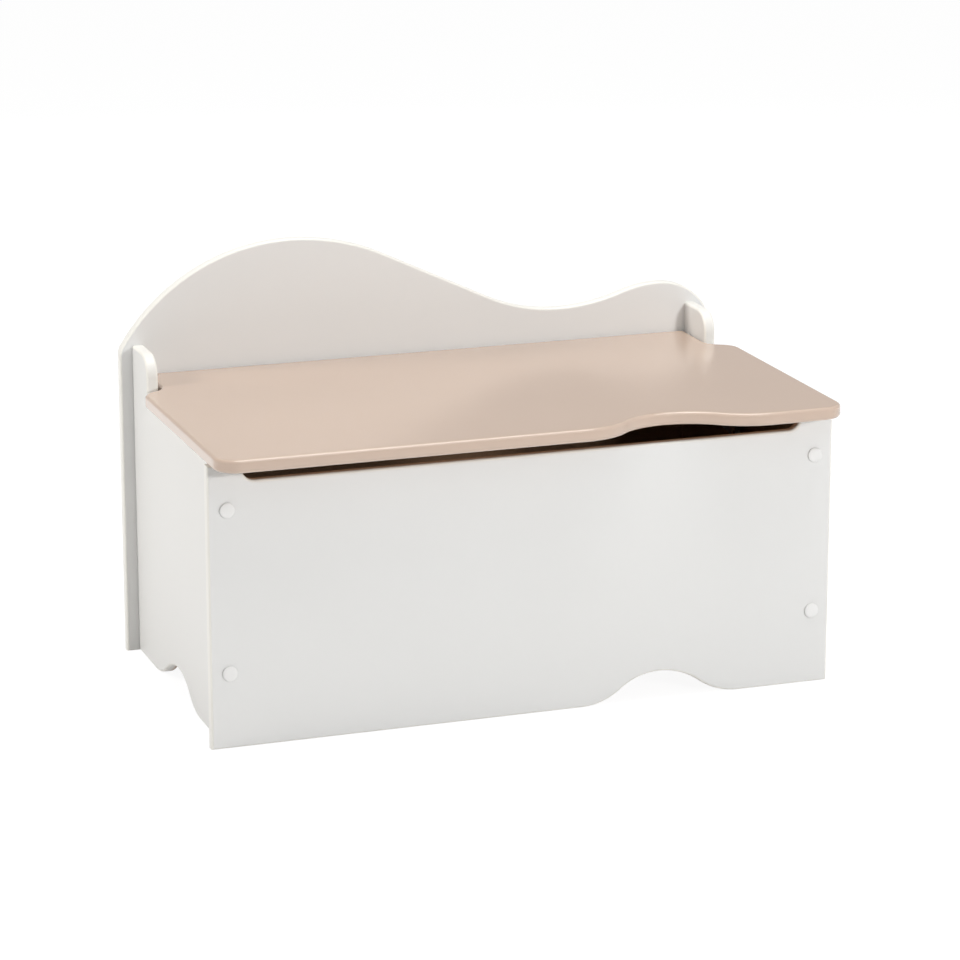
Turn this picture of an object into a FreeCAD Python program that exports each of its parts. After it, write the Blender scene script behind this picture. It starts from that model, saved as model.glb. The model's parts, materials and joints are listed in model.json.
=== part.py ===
import FreeCAD, Part
import math
import os
import re

import Sketcher
from FreeCAD import Placement, Rotation, Vector

# A wooden toy box with a rounded, wave-topped back board and a lid that turns on pins in two ears.
# Frame: +X to the right along the front, +Y towards the back, +Z up, floor at Z = 0,
# X = 0 in the middle of the length and Y = 0 in the middle of the depth over lid and rear caps.

doc = FreeCAD.newDocument("ToyBox")
sheet = doc.addObject("Spreadsheet::Sheet", "Sizes")
nodes = []

drivingSizes = {
    # carcass boards
    "box_width": 800, "box_depth": 420, "box_height": 350, "board": 15, "side_inset": 16,
    "board_round": 3.5,
    # back board outline, measured from its ends and from the top of the front board
    "hump_from_left": 226, "hump_rise": 176, "hump_fall_share": 0.93,
    "dip_to_crest": 142, "dip_rise": 59, "dip_share": 0.73, "rise_share": 0.63,
    "crest_from_right": 67.5, "crest_rise": 83.5,
    "left_shoulder_rise": 47, "right_shoulder_rise": 44, "shoulder_round": 20,
    # wave cut in the front board's foot and finger gap in its top
    "front_arch_from_right": 120, "front_arch_fall": 107, "front_arch_climb": 101,
    "front_arch_rise": 36,
    "finger_cut_margin": 43, "finger_cut_depth": 22, "finger_cut_corner": 16,
    "finger_cut_lip": 5,
    # side boards: wave cut in the foot and the ear that carries the lid
    "side_arch_from_front": 98, "side_arch_climb": 100, "side_arch_fall": 113,
    "side_arch_rise": 34,
    "ear_depth": 70, "ear_rise": 37, "ear_corner": 27, "ear_root": 5,
    # lid
    "lid_past_side": 14, "lid_board": 16, "lid_overhang": 47, "lid_corner": 28, "lid_round": 4,
    "lid_seat": 0.3, "lid_side_gap": 2.5, "lid_rear_gap": 2.5, "lid_rear_corner": 6,
    "flare_length": 48, "flare_gap": 1,
    "recess_from_right": 98, "recess_fall": 128, "recess_climb": 112, "recess_depth": 43,
    # base board and the cleats that carry it
    "base_board": 12, "base_gap": 1, "base_underside": 58, "cleat": 18, "cleat_gap": 1,
    # connector bolts, barrel nuts, caps and dowels
    "bolt_low": 94, "bolt_high": 295, "bolt_radius": 3, "bolt_length": 50,
    "bolt_head_radius": 5.5, "bolt_head": 4, "bolt_sink": 0.4, "bolt_key": 4, "bolt_key_depth": 2.5,
    "bolt_hole_gap": 0.4, "bolt_sink_gap": 0.6,
    "nut_radius": 5, "nut_length": 12, "nut_from_edge": 32, "drill_gap": 0.05,
    "cap_radius": 9.3, "cap_rim": 1, "cap_rise": 3.4, "cap_stem": 1.95, "cap_stem_length": 2.4,
    "dowel_radius": 4, "dowel_length": 30, "dowel_in_board": 9, "dowel_low": 150, "dowel_high": 235,
    # screws
    "screw_radius": 1.75, "screw_head_radius": 3.6, "screw_head": 2.2, "screw_point": 3,
    "cleat_screw_length": 28, "cleat_screw_margin": 60, "side_screw_margin": 50,
    "base_screw_length": 24, "base_screw_margin": 190, "stay_screw_length": 14,
    # hinge pins and bushes
    "pivot_from_back": 20, "pin_radius": 3.5, "pin_in_ear": 11, "pin_in_lid": 18,
    "pin_running_gap": 0.05, "pin_chamfer": 0.6,
    "bush_radius": 5, "bush_length": 20, "bush_flange_radius": 7, "bush_flange": 1.2,
    # lid stays: a parallelogram of pivot, stay axle, elbow and bracket pin
    "axle_reach": 45, "axle_drop": 60, "bracket_reach": 150, "bracket_drop": 22,
    "stay_plate": 3, "stay_gap": 0.5, "stay_half_width": 8,
    "drum_radius": 20, "drum_depth": 12, "flange_half_width": 11, "flange_screw_reach": 28,
    "axle_radius": 4, "axle_in_drum": 8, "rivet_radius": 3, "rivet_head_radius": 5.5,
    "rivet_head": 1.8, "rivet_head_gap": 0.2, "open_pivot_gap": 0.3,
    "foot_length": 25, "foot_half_width": 20, "foot_screw_inset": 15, "foot_screw_reach": 13,
}

# Sizes that follow from the driving ones.
workedSizes = {
    "half_width": "box_width / 2",
    "cut_half": "half_width - finger_cut_margin",
    "side_outer": "half_width - side_inset",
    "inner_half": "side_outer - board",
    "side_depth": "box_depth - 2 * board",
    "box_mid": "(lid_overhang - cap_rise) / 2",
    "front_face": "box_mid - box_depth / 2",
    "rear_face": "box_mid + box_depth / 2",
    "side_front": "front_face + board",
    "side_rear": "rear_face - board",
    "bolt_across": "side_outer - board / 2",
    "pivot_y": "side_rear - pivot_from_back",
    "pivot_z": "box_height + lid_seat + lid_board / 2",
    "hump_x": "hump_from_left - half_width",
    "crest_x": "half_width - crest_from_right",
    "dip_x": "crest_x - dip_to_crest",
    "hump_top": "box_height + hump_rise",
    "dip_floor": "box_height + dip_rise",
    "crest_top": "box_height + crest_rise",
    "left_shoulder": "box_height + left_shoulder_rise",
    "right_shoulder": "box_height + right_shoulder_rise",
    "hump_over": "hump_top - left_shoulder",
    "crest_over": "crest_top - right_shoulder",
    "hump_radius": "(hump_from_left ^ 2 + hump_over ^ 2) / (2 * hump_over)",
    "end_radius": "(crest_from_right ^ 2 + crest_over ^ 2) / (2 * crest_over)",
    "fall_run": "dip_x - hump_x",
    "fall_drop": "hump_top - dip_floor",
    "swoop_radius": "(fall_run ^ 2 + fall_drop ^ 2) / (4 * fall_drop)",
    "fall_radius": "swoop_radius * hump_fall_share",
    "dip_radius": "swoop_radius * dip_share",
    "climb_span": "crest_top - dip_floor",
    "climb_reach": "(dip_to_crest ^ 2 + climb_span ^ 2) / (2 * climb_span)",
    "rise_radius": "climb_reach * rise_share",
    "crest_radius": "climb_reach - rise_radius",
    "fall_centres_z": "dip_floor + dip_radius - hump_top + fall_radius",
    "fall_centres": "sqrt(fall_run ^ 2 + fall_centres_z ^ 2)",
    "fall_angle": "atan2(fall_centres_z; fall_run) + acos((fall_radius + dip_radius) / fall_centres)",
    "cap_dome": "(cap_radius ^ 2 + (cap_rise - cap_rim) ^ 2) / (2 * (cap_rise - cap_rim))",
    "lid_half": "side_outer + lid_past_side",
    "neck_half": "inner_half - lid_side_gap",
    "lid_front": "-(box_depth / 2 + lid_overhang)",
    "lid_rear": "side_depth / 2 - lid_rear_gap",
    "flare_end": "side_depth / 2 - ear_depth - flare_gap",
    "flare_start": "flare_end - flare_length",
    "recess_right": "lid_half - recess_from_right",
    "recess_top": "recess_right - recess_fall",
    "recess_left": "recess_top - recess_climb",
    "base_top": "base_underside + base_board",
    "arm_layer": "drum_depth + stay_gap",
    "link_layer": "arm_layer + stay_plate + stay_gap",
    "tab_layer": "link_layer + stay_plate + stay_gap",
    "arm_length": "sqrt(bracket_reach ^ 2 + bracket_drop ^ 2)",
    "link_length": "sqrt(axle_reach ^ 2 + axle_drop ^ 2)",
}


def fillSheet():
    row = 1
    for alias, size in drivingSizes.items():
        sheet.set(f"A{row}", alias)
        sheet.set(f"B{row}", str(size))
        sheet.setAlias(f"B{row}", alias)
        row += 1
    for alias, rule in workedSizes.items():
        sheet.set(f"A{row}", alias)
        sheet.set(f"B{row}", "=" + rule)
        sheet.setAlias(f"B{row}", alias)
        row += 1
    doc.recompute()


def full(rule):
    """A rule in the sheet's aliases, as an expression that any object can hold."""
    return re.sub(r"\b([a-z]\w+)\b(?!\()", r"Sizes.\1", rule)


def amount(rule):
    return float(sheet.evalExpression(full(rule)))


def bind(item, path, rule):
    item.setExpression(path, full(rule))


def place(item, x="0", y="0", z="0"):
    for axis, rule in zip("xyz", (x, y, z)):
        bind(item, f"Placement.Base.{axis}", rule)


def newBody(label):
    body = doc.addObject("PartDesign::Body", label)
    body.Label = label
    return body


def newSketch(body, plane, offset="0"):
    sketch = body.newObject("Sketcher::SketchObject", body.Label + "_sketch")
    support = next(part for part in body.Origin.OriginFeatures if part.Role == plane)
    sketch.AttachmentSupport = (support, [""])
    sketch.MapMode = "FlatFace"
    bind(sketch, "AttachmentOffset.Base.z", offset)
    return sketch


def hold(sketch, kind, geometry, point, rule):
    """Hold one point at a distance from the sketch's origin, or on its axis where the rule is 0."""
    if rule == "0":
        axis = -2 if kind == "DistanceX" else -1
        sketch.addConstraint(Sketcher.Constraint("PointOnObject", geometry, point, axis))
        return
    index = sketch.addConstraint(Sketcher.Constraint(kind, -1, 1, geometry, point, amount(rule)))
    bind(sketch, f"Constraints[{index}]", rule)


def arcBetween(start, end, radius):
    """The short arc from start to end; a positive radius turns left, a negative one right."""
    chord = end - start
    side = Vector(-chord.y, chord.x, 0).normalize() * math.copysign(1, radius)
    rise = math.sqrt(max(radius ** 2 - (chord.Length / 2) ** 2, 0))
    centre = start + chord * 0.5 + side * rise
    first, last = (start, end) if radius > 0 else (end, start)
    firstAngle = math.atan2(first.y - centre.y, first.x - centre.x)
    lastAngle = math.atan2(last.y - centre.y, last.x - centre.x)
    circle = Part.Circle(centre, Vector(0, 0, 1), abs(radius))
    return Part.ArcOfCircle(circle, firstAngle, lastAngle)


def outline(sketch, corners):
    """A closed outline. Each corner is (x rule, y rule) with, where an arc leaves it, the arc's
    radius rule as a third item and "left" or "right" as a fourth."""
    points = [Vector(amount(corner[0]), amount(corner[1]), 0) for corner in corners]
    leaves = []
    arrives = []
    for index, corner in enumerate(corners):
        start, end = points[index], points[(index + 1) % len(points)]
        if len(corner) == 2:
            geometry = sketch.addGeometry(Part.LineSegment(start, end))
        else:
            turn = 1 if corner[3] == "left" else -1
            geometry = sketch.addGeometry(arcBetween(start, end, turn * amount(corner[2])))
        backwards = len(corner) > 2 and corner[3] == "right"
        leaves.append((geometry, 2 if backwards else 1))
        arrives.append((geometry, 1 if backwards else 2))
    for index, corner in enumerate(corners):
        sketch.addConstraint(Sketcher.Constraint("Coincident", *arrives[index - 1], *leaves[index]))
        hold(sketch, "DistanceX", *leaves[index], corner[0])
        hold(sketch, "DistanceY", *leaves[index], corner[1])
        if len(corner) > 2:
            radius = Sketcher.Constraint("Radius", leaves[index][0], amount(corner[2]))
            bind(sketch, f"Constraints[{sketch.addConstraint(radius)}]", corner[2])


def circles(sketch, centres, radius):
    for x, y in centres:
        centre = Vector(amount(x), amount(y), 0)
        geometry = sketch.addGeometry(Part.Circle(centre, Vector(0, 0, 1), amount(radius)))
        hold(sketch, "DistanceX", geometry, 3, x)
        hold(sketch, "DistanceY", geometry, 3, y)
        size = sketch.addConstraint(Sketcher.Constraint("Radius", geometry, amount(radius)))
        bind(sketch, f"Constraints[{size}]", radius)


def pad(body, sketch, depth, backwards=False):
    feature = body.newObject("PartDesign::Pad", body.Label + "_pad")
    feature.Profile = sketch
    feature.Reversed = backwards
    bind(feature, "Length", depth)
    return feature


def drill(body, plane, centres, radius, depth, offset="0", backwards=False):
    """Blind round holes; the volume must fall, so a hole that points away is an error."""
    doc.recompute()
    before = body.Shape.Volume
    sketch = newSketch(body, plane, offset)
    circles(sketch, centres, radius)
    feature = body.newObject("PartDesign::Pocket", body.Label + "_holes")
    feature.Profile = sketch
    feature.Reversed = backwards
    bind(feature, "Length", depth)
    doc.recompute()
    if body.Shape.Volume > before - 1:
        raise RuntimeError(f"{body.Label}: a drilled hole cuts nothing")
    return feature


def roundEdges(body, radius, wanted):
    """Round the edges of the body's last feature that the test accepts."""
    doc.recompute()
    base = body.Tip
    names = [f"Edge{number}" for number, edge in enumerate(base.Shape.Edges, 1) if wanted(edge)]
    feature = body.newObject("PartDesign::Fillet", body.Label + "_round")
    feature.Base = (base, names)
    bind(feature, "Radius", radius)
    return feature


def liesAt(edge, axis, levels):
    """True where the whole edge lies in one of the planes given by axis and level."""
    box = edge.BoundBox
    low, high = {"x": (box.XMin, box.XMax), "y": (box.YMin, box.YMax), "z": (box.ZMin, box.ZMax)}[axis]
    return any(abs(low - level) < 0.01 and abs(high - level) < 0.01 for level in levels)


def repeat(body, feature, first, second=None):
    """Copies of one feature along one or two origin axes: (axis role, overall length, count)."""
    pattern = body.newObject("PartDesign::LinearPattern", body.Label + "_pattern")
    pattern.Originals = [feature]
    for suffix, run in (("", first), ("2", second)):
        if run:
            axis = next(part for part in body.Origin.OriginFeatures if part.Role == run[0])
            setattr(pattern, "Direction" + suffix, (axis, [""]))
            bind(pattern, "Length" + suffix, run[1])
            setattr(pattern, "Occurrences" + suffix, run[2])
    body.Tip = pattern


def turned(label, axis, profile):
    """A body of revolution about its own axis; the profile's corners are (along, radius) rules."""
    body = newBody(label)
    sketch = newSketch(body, "XZ_Plane" if axis == "Z" else "XY_Plane")
    if axis == "X":
        outline(sketch, profile)
    else:
        flipped = {"left": "right", "right": "left"}
        outline(sketch, [(corner[1], corner[0]) if len(corner) == 2
                         else (corner[1], corner[0], corner[2], flipped[corner[3]]) for corner in profile])
    feature = body.newObject("PartDesign::Revolution", label + "_turn")
    feature.Profile = sketch
    feature.ReferenceAxis = (sketch, ["H_Axis" if axis == "X" else "V_Axis"])
    feature.Angle = 360
    return body, feature


def mirrored(item, label):
    """The right-hand twin of a left-hand piece."""
    twin = doc.addObject("Part::Mirroring", label)
    twin.Label = label
    twin.Source = item
    twin.Normal = Vector(1, 0, 0)
    nodes.append(twin)
    return twin


def bothSides(item, name):
    """Keep the left-hand piece as NAME_left and add its twin NAME_right."""
    item.Label = name + "_left"
    nodes.append(item)
    mirrored(item, name + "_right")


def wave(start, length, rise, start_level="0"):
    """Corners of one S-curve, from a level tangent at start to a level tangent at its end. The
    rules may be negative, so the same curve climbs or falls and runs either way."""
    radius = f"(({length}) ^ 2 + ({rise}) ^ 2) / (4 * abs({rise}))"
    middle = (f"{start} + ({length}) / 2", f"{start_level} + ({rise}) / 2")
    return radius, middle


boltHeights = ("bolt_low", "bolt_high")
boltPlaces = [(across, height) for across in ("-bolt_across", "bolt_across") for height in boltHeights]
dowelPlaces = [(x, z) for x in ("-bolt_across", "bolt_across") for z in ("dowel_low", "dowel_high")]
cleatScrewsAcross = ("-(inner_half - cleat_screw_margin)", "0", "inner_half - cleat_screw_margin")
cleatScrewsDeep = ("-(side_depth / 2 - side_screw_margin)", "side_depth / 2 - side_screw_margin")
baseScrewsAcross = ("-(inner_half - base_screw_margin)", "inner_half - base_screw_margin")
cleatMiddle = "base_underside - cleat / 2"


def boardHoles(body, backwards):
    """What both long boards are drilled for: bolts and their heads from outside, dowels and
    cleat screws from inside."""
    inside = "board" if backwards else "-board"
    drill(body, "XZ_Plane", boltPlaces, "bolt_radius + bolt_hole_gap", "board", "0", backwards)
    drill(body, "XZ_Plane", boltPlaces, "bolt_head_radius + bolt_sink_gap", "bolt_head + bolt_sink",
          "0", backwards)
    drill(body, "XZ_Plane", dowelPlaces, "dowel_radius + drill_gap", "dowel_in_board + drill_gap",
          inside, not backwards)
    drill(body, "XZ_Plane", [(x, cleatMiddle) for x in cleatScrewsAcross], "screw_radius + drill_gap",
          "cleat_screw_length - cleat + 1", inside, not backwards)


def frontBoard():
    body = newBody("front_panel")
    top = "box_height"
    floor = "box_height - finger_cut_depth"
    archRight = "half_width - front_arch_from_right"
    archTop = f"{archRight} - front_arch_fall"
    archLeft = f"{archTop} - front_arch_climb"
    climb, climbMiddle = wave(archLeft, "front_arch_climb", "front_arch_rise")
    fall, fallMiddle = wave(archTop, "front_arch_fall", "-front_arch_rise", "front_arch_rise")
    sketch = newSketch(body, "XZ_Plane")
    outline(sketch, [
        ("-half_width", "0"),
        (archLeft, "0", climb, "left"),
        (*climbMiddle, climb, "right"),
        (archTop, "front_arch_rise", fall, "right"),
        (*fallMiddle, fall, "left"),
        (archRight, "0"),
        ("half_width", "0"),
        ("half_width", top),
        ("cut_half + finger_cut_lip", top, "finger_cut_lip", "left"),
        ("cut_half", f"{top} - finger_cut_lip"),
        ("cut_half", f"{floor} + finger_cut_corner", "finger_cut_corner", "right"),
        ("cut_half - finger_cut_corner", floor),
        ("-cut_half + finger_cut_corner", floor, "finger_cut_corner", "right"),
        ("-cut_half", f"{floor} + finger_cut_corner"),
        ("-cut_half", f"{top} - finger_cut_lip", "finger_cut_lip", "left"),
        ("-cut_half - finger_cut_lip", top),
        ("-half_width", top),
    ])
    pad(body, sketch, "board", True)
    roundEdges(body, "board_round", lambda edge: liesAt(edge, "y", (0, amount("board"))))
    boardHoles(body, False)
    place(body, y="front_face")
    nodes.append(body)


def backBoard():
    body = newBody("back_panel")
    touch = "fall_angle"
    sketch = newSketch(body, "XZ_Plane")
    outline(sketch, [
        ("-half_width", "0"),
        ("half_width", "0"),
        ("half_width", "right_shoulder", "end_radius", "left"),
        ("crest_x", "crest_top", "crest_radius", "left"),
        ("dip_x + dip_to_crest * rise_share", "dip_floor + climb_span * rise_share",
         "rise_radius", "right"),
        ("dip_x", "dip_floor", "dip_radius", "right"),
        (f"dip_x - dip_radius * cos({touch})", f"dip_floor + dip_radius * (1 - sin({touch}))"),
        (f"hump_x + fall_radius * cos({touch})", f"hump_top - fall_radius * (1 - sin({touch}))",
         "fall_radius", "left"),
        ("hump_x", "hump_top", "hump_radius", "left"),
        ("-half_width", "left_shoulder"),
    ])
    pad(body, sketch, "board")
    shoulders = (amount("left_shoulder"), amount("right_shoulder"))
    ends = (-amount("half_width"), amount("half_width"))
    roundEdges(body, "shoulder_round",
               lambda edge: liesAt(edge, "z", shoulders) and liesAt(edge, "x", ends))
    roundEdges(body, "board_round", lambda edge: liesAt(edge, "y", (0, -amount("board"))))
    boardHoles(body, True)
    place(body, y="rear_face")
    nodes.append(body)


def sideBoard():
    body = newBody("side_panel")
    earFront = "side_depth - ear_depth"
    earTop = "box_height + lid_seat + lid_board + ear_rise"
    archFront = "side_arch_from_front"
    archTop = f"{archFront} + side_arch_climb"
    archRear = f"{archTop} + side_arch_fall"
    climb, climbMiddle = wave(archFront, "side_arch_climb", "side_arch_rise")
    fall, fallMiddle = wave(archTop, "side_arch_fall", "-side_arch_rise", "side_arch_rise")
    sketch = newSketch(body, "YZ_Plane")
    outline(sketch, [
        ("0", "0"),
        (archFront, "0", climb, "left"),
        (*climbMiddle, climb, "right"),
        (archTop, "side_arch_rise", fall, "right"),
        (*fallMiddle, fall, "left"),
        (archRear, "0"),
        ("side_depth", "0"),
        ("side_depth", earTop),
        (f"{earFront} + ear_corner", earTop, "ear_corner", "left"),
        (earFront, f"{earTop} - ear_corner"),
        (earFront, "box_height + ear_root", "ear_root", "right"),
        (f"{earFront} - ear_root", "box_height"),
        ("0", "box_height"),
    ])
    pad(body, sketch, "board")
    depth = amount("side_depth")
    roundEdges(body, "board_round",
               lambda edge: liesAt(edge, "x", (0, amount("board"))) and not liesAt(edge, "y", (0, depth)))
    boltLine = [("board / 2", height) for height in boltHeights]
    dowelLine = [("board / 2", height) for height in ("dowel_low", "dowel_high")]
    for offset, backwards in (("0", False), ("-side_depth", True)):
        drill(body, "XZ_Plane", boltLine, "bolt_radius + bolt_hole_gap", "bolt_length", offset, backwards)
        drill(body, "XZ_Plane", dowelLine, "dowel_radius + drill_gap",
              "dowel_length - dowel_in_board + drill_gap", offset, backwards)
    nutLine = [(y, z) for y in ("nut_from_edge", "side_depth - nut_from_edge") for z in boltHeights]
    drill(body, "YZ_Plane", nutLine, "nut_radius + drill_gap", "nut_length + drill_gap", "board")
    pinPlace = [("side_depth - pivot_from_back", "pivot_z")]
    drill(body, "YZ_Plane", pinPlace, "pin_radius + drill_gap", "pin_in_ear + drill_gap", "board")
    drill(body, "YZ_Plane", [(f"side_depth / 2 + {y}", cleatMiddle) for y in cleatScrewsDeep],
          "screw_radius + drill_gap", "cleat_screw_length - cleat + 1", "board")
    stayLine = [(f"side_depth - pivot_from_back - axle_reach", f"pivot_z - axle_drop + {reach}")
                for reach in ("flange_screw_reach", "-flange_screw_reach")]
    drill(body, "YZ_Plane", stayLine, "screw_radius + drill_gap", "stay_screw_length - stay_plate + 1",
          "board")
    place(body, "-side_outer", "side_front")
    bothSides(body, "side_panel")


def lidBoard():
    body = newBody("lid")
    flareHeight = "lid_half - neck_half"
    flare = f"(flare_length ^ 2 + ({flareHeight}) ^ 2) / (4 * ({flareHeight}))"
    flareMiddle = ("(lid_half + neck_half) / 2", "(flare_start + flare_end) / 2")
    climb, climbMiddle = wave("recess_left", "recess_climb", "recess_depth", "lid_front")
    fall, fallMiddle = wave("recess_top", "recess_fall", "-recess_depth", "lid_front + recess_depth")
    corner, rearCorner = "lid_corner", "lid_rear_corner"
    sketch = newSketch(body, "XY_Plane")
    outline(sketch, [
        (f"-lid_half + {corner}", "lid_front"),
        ("recess_left", "lid_front", climb, "left"),
        (*climbMiddle, climb, "right"),
        ("recess_top", "lid_front + recess_depth", fall, "right"),
        (*fallMiddle, fall, "left"),
        ("recess_right", "lid_front"),
        (f"lid_half - {corner}", "lid_front", corner, "left"),
        ("lid_half", f"lid_front + {corner}"),
        ("lid_half", "flare_start", flare, "left"),
        (*flareMiddle, flare, "right"),
        ("neck_half", "flare_end"),
        ("neck_half", f"lid_rear - {rearCorner}", rearCorner, "left"),
        (f"neck_half - {rearCorner}", "lid_rear"),
        (f"-neck_half + {rearCorner}", "lid_rear", rearCorner, "left"),
        ("-neck_half", f"lid_rear - {rearCorner}"),
        ("-neck_half", "flare_end", flare, "right"),
        (f"-({flareMiddle[0]})", flareMiddle[1], flare, "left"),
        ("-lid_half", "flare_start"),
        ("-lid_half", f"lid_front + {corner}", corner, "left"),
    ])
    pad(body, sketch, "lid_board")
    roundEdges(body, "lid_round", lambda edge: liesAt(edge, "z", (0, amount("lid_board"))))
    pivot = [("side_depth / 2 - pivot_from_back", "lid_board / 2")]
    bore = ("bush_radius + drill_gap", "bush_length + drill_gap")
    drill(body, "YZ_Plane", pivot, *bore, "-neck_half", True)
    drill(body, "YZ_Plane", pivot, *bore, "neck_half")
    screwPlaces = [(x, f"side_depth / 2 - pivot_from_back - bracket_reach + {reach}")
                   for x in ("-(inner_half - tab_layer - foot_screw_inset)",
                             "inner_half - tab_layer - foot_screw_inset")
                   for reach in ("foot_screw_reach", "-foot_screw_reach")]
    drill(body, "XY_Plane", screwPlaces, "screw_radius + drill_gap", "stay_screw_length - stay_plate",
          "0", True)
    place(body, y="box_mid", z="box_height + lid_seat")
    nodes.append(body)


def block(label, length, width, height, x, y, z):
    """A plain batten or board, as a box."""
    item = doc.addObject("Part::Box", label)
    item.Label = label
    for name, rule in (("Length", length), ("Width", width), ("Height", height)):
        bind(item, name, rule)
    place(item, x, y, z)
    return item


def bored(solid, label, holes):
    """Cut round holes, given as (axis, radius, depth, x, y, z), out of a plain block."""
    tools = []
    for axis, radius, depth, x, y, z in holes:
        tool = doc.addObject("Part::Cylinder", label + "_bit")
        bind(tool, "Radius", radius)
        bind(tool, "Height", depth)
        turn = {"X": Rotation(Vector(0, 1, 0), 90), "Y": Rotation(Vector(1, 0, 0), -90),
                "Z": Rotation()}[axis]
        tool.Placement = Placement(Vector(), turn)
        place(tool, x, y, z)
        tools.append(tool)
    bits = doc.addObject("Part::MultiFuse", label + "_bits")
    bits.Shapes = tools
    cut = doc.addObject("Part::Cut", label)
    cut.Label = label
    cut.Base = solid
    cut.Tool = bits
    return cut


screwHole = "screw_radius + drill_gap"


def baseAndCleats():
    base = block("base_blank", "2 * (inner_half - base_gap)", "side_depth - 2 * base_gap", "base_board",
                 "-(inner_half - base_gap)", "side_front + base_gap", "base_underside")
    rows = ("side_front + cleat_gap + cleat / 2", "side_rear - cleat_gap - cleat / 2")
    nodes.append(bored(base, "bottom_panel", [
        ("Z", screwHole, "base_board", x, y, "base_underside")
        for x in baseScrewsAcross for y in rows]))
    biteDepth = "base_screw_length - base_board + 1"
    for label, y, row in (("front_cleat", "side_front", "side_front + cleat_gap + cleat / 2"),
                          ("rear_cleat", "side_rear - cleat", "side_rear - cleat_gap - cleat / 2")):
        cleat = block(label + "_blank", "2 * (inner_half - cleat_gap)", "cleat", "cleat",
                      "-(inner_half - cleat_gap)", y, "base_underside - cleat")
        holes = [("Y", screwHole, "cleat", x, y, cleatMiddle) for x in cleatScrewsAcross]
        holes += [("Z", screwHole, biteDepth, x, row, f"base_underside - ({biteDepth})")
                  for x in baseScrewsAcross]
        nodes.append(bored(cleat, label, holes))
    side = block("side_cleat_blank", "cleat", "side_depth - 2 * (cleat + cleat_gap)", "cleat",
                 "-inner_half", "side_front + cleat + cleat_gap", "base_underside - cleat")
    bothSides(bored(side, "side_cleat", [
        ("X", screwHole, "cleat", "-inner_half", f"side_front + side_depth / 2 + {y}", cleatMiddle)
        for y in cleatScrewsDeep]), "side_cleat")


def boltsAndCaps():
    for name, turn, y in (("front", 0, "front_face"), ("rear", 180, "rear_face")):
        side = "-bolt_across" if turn == 0 else "bolt_across"
        headTop = "bolt_sink"
        underHead = f"{headTop} + bolt_head"
        key = "bolt_key / 2"
        bolts, feature = turned(name + "_connector_bolts", "Y", [
            (f"{headTop} + bolt_key_depth", "0"),
            (f"{headTop} + bolt_key_depth", key),
            (headTop, key),
            (headTop, "bolt_head_radius"),
            (underHead, "bolt_head_radius"),
            (underHead, "bolt_radius"),
            (f"{underHead} + bolt_length", "bolt_radius"),
            (f"{underHead} + bolt_length", "0"),
        ])
        caps, capFeature = turned(name + "_bolt_caps", "Y", [
            ("cap_stem_length", "0"),
            ("-cap_rise", "0", "cap_dome", "right"),
            ("-cap_rim", "cap_radius"),
            ("0", "cap_radius"),
            ("0", "cap_stem"),
            ("cap_stem_length", "cap_stem"),
        ])
        dowels, dowelFeature = turned(name + "_dowels", "Y", [
            ("board - dowel_in_board", "0"),
            ("board - dowel_in_board", "dowel_radius"),
            ("board - dowel_in_board + dowel_length", "dowel_radius"),
            ("board - dowel_in_board + dowel_length", "0"),
        ])
        for body, source, low, rise in ((bolts, feature, "bolt_low", "bolt_high - bolt_low"),
                                        (caps, capFeature, "bolt_low", "bolt_high - bolt_low"),
                                        (dowels, dowelFeature, "dowel_low", "dowel_high - dowel_low")):
            repeat(body, source, ("X_Axis", "2 * bolt_across", 2), ("Z_Axis", rise, 2))
            body.Placement = Placement(Vector(), Rotation(Vector(0, 0, 1), turn))
            place(body, side, y, low)
            nodes.append(body)


def barrelNuts():
    """Cross-drilled barrels let into the side boards, one for each connector bolt."""
    body = newBody("barrel_nuts_one_side")
    sketch = newSketch(body, "YZ_Plane")
    circles(sketch, [("0", "0")], "nut_radius")
    pad(body, sketch, "nut_length")
    drill(body, "XZ_Plane", [("nut_length - board / 2", "0")],
          "bolt_radius + drill_gap", "4 * nut_radius", "2 * nut_radius")
    one = doc.addObject("Part::Compound", "barrel_nuts_left")
    places = [(y, z) for y in ("side_front + nut_from_edge", "side_rear - nut_from_edge")
              for z in boltHeights]
    links = []
    for y, z in places:
        link = doc.addObject("App::Link", "barrel_nut")
        link.LinkedObject = body
        place(link, "-inner_half - nut_length", y, z)
        links.append(link)
    one.Links = links
    bothSides(one, "barrel_nuts")


def screws(label, axis, length, turn, x, y, z, first, second=None):
    """A row or a grid of round-head screws; the head stands on the level that x, y, z give."""
    body, feature = turned(label, axis, [
        ("-screw_head", "0"),
        ("-screw_head", "screw_head_radius * 0.7"),
        ("-screw_head * 0.45", "screw_head_radius"),
        ("0", "screw_head_radius"),
        ("0", "screw_radius"),
        (f"{length} - screw_point", "screw_radius"),
        (length, "0"),
    ])
    repeat(body, feature, first, second)
    body.Placement = Placement(Vector(), turn)
    place(body, x, y, z)
    return body


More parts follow.
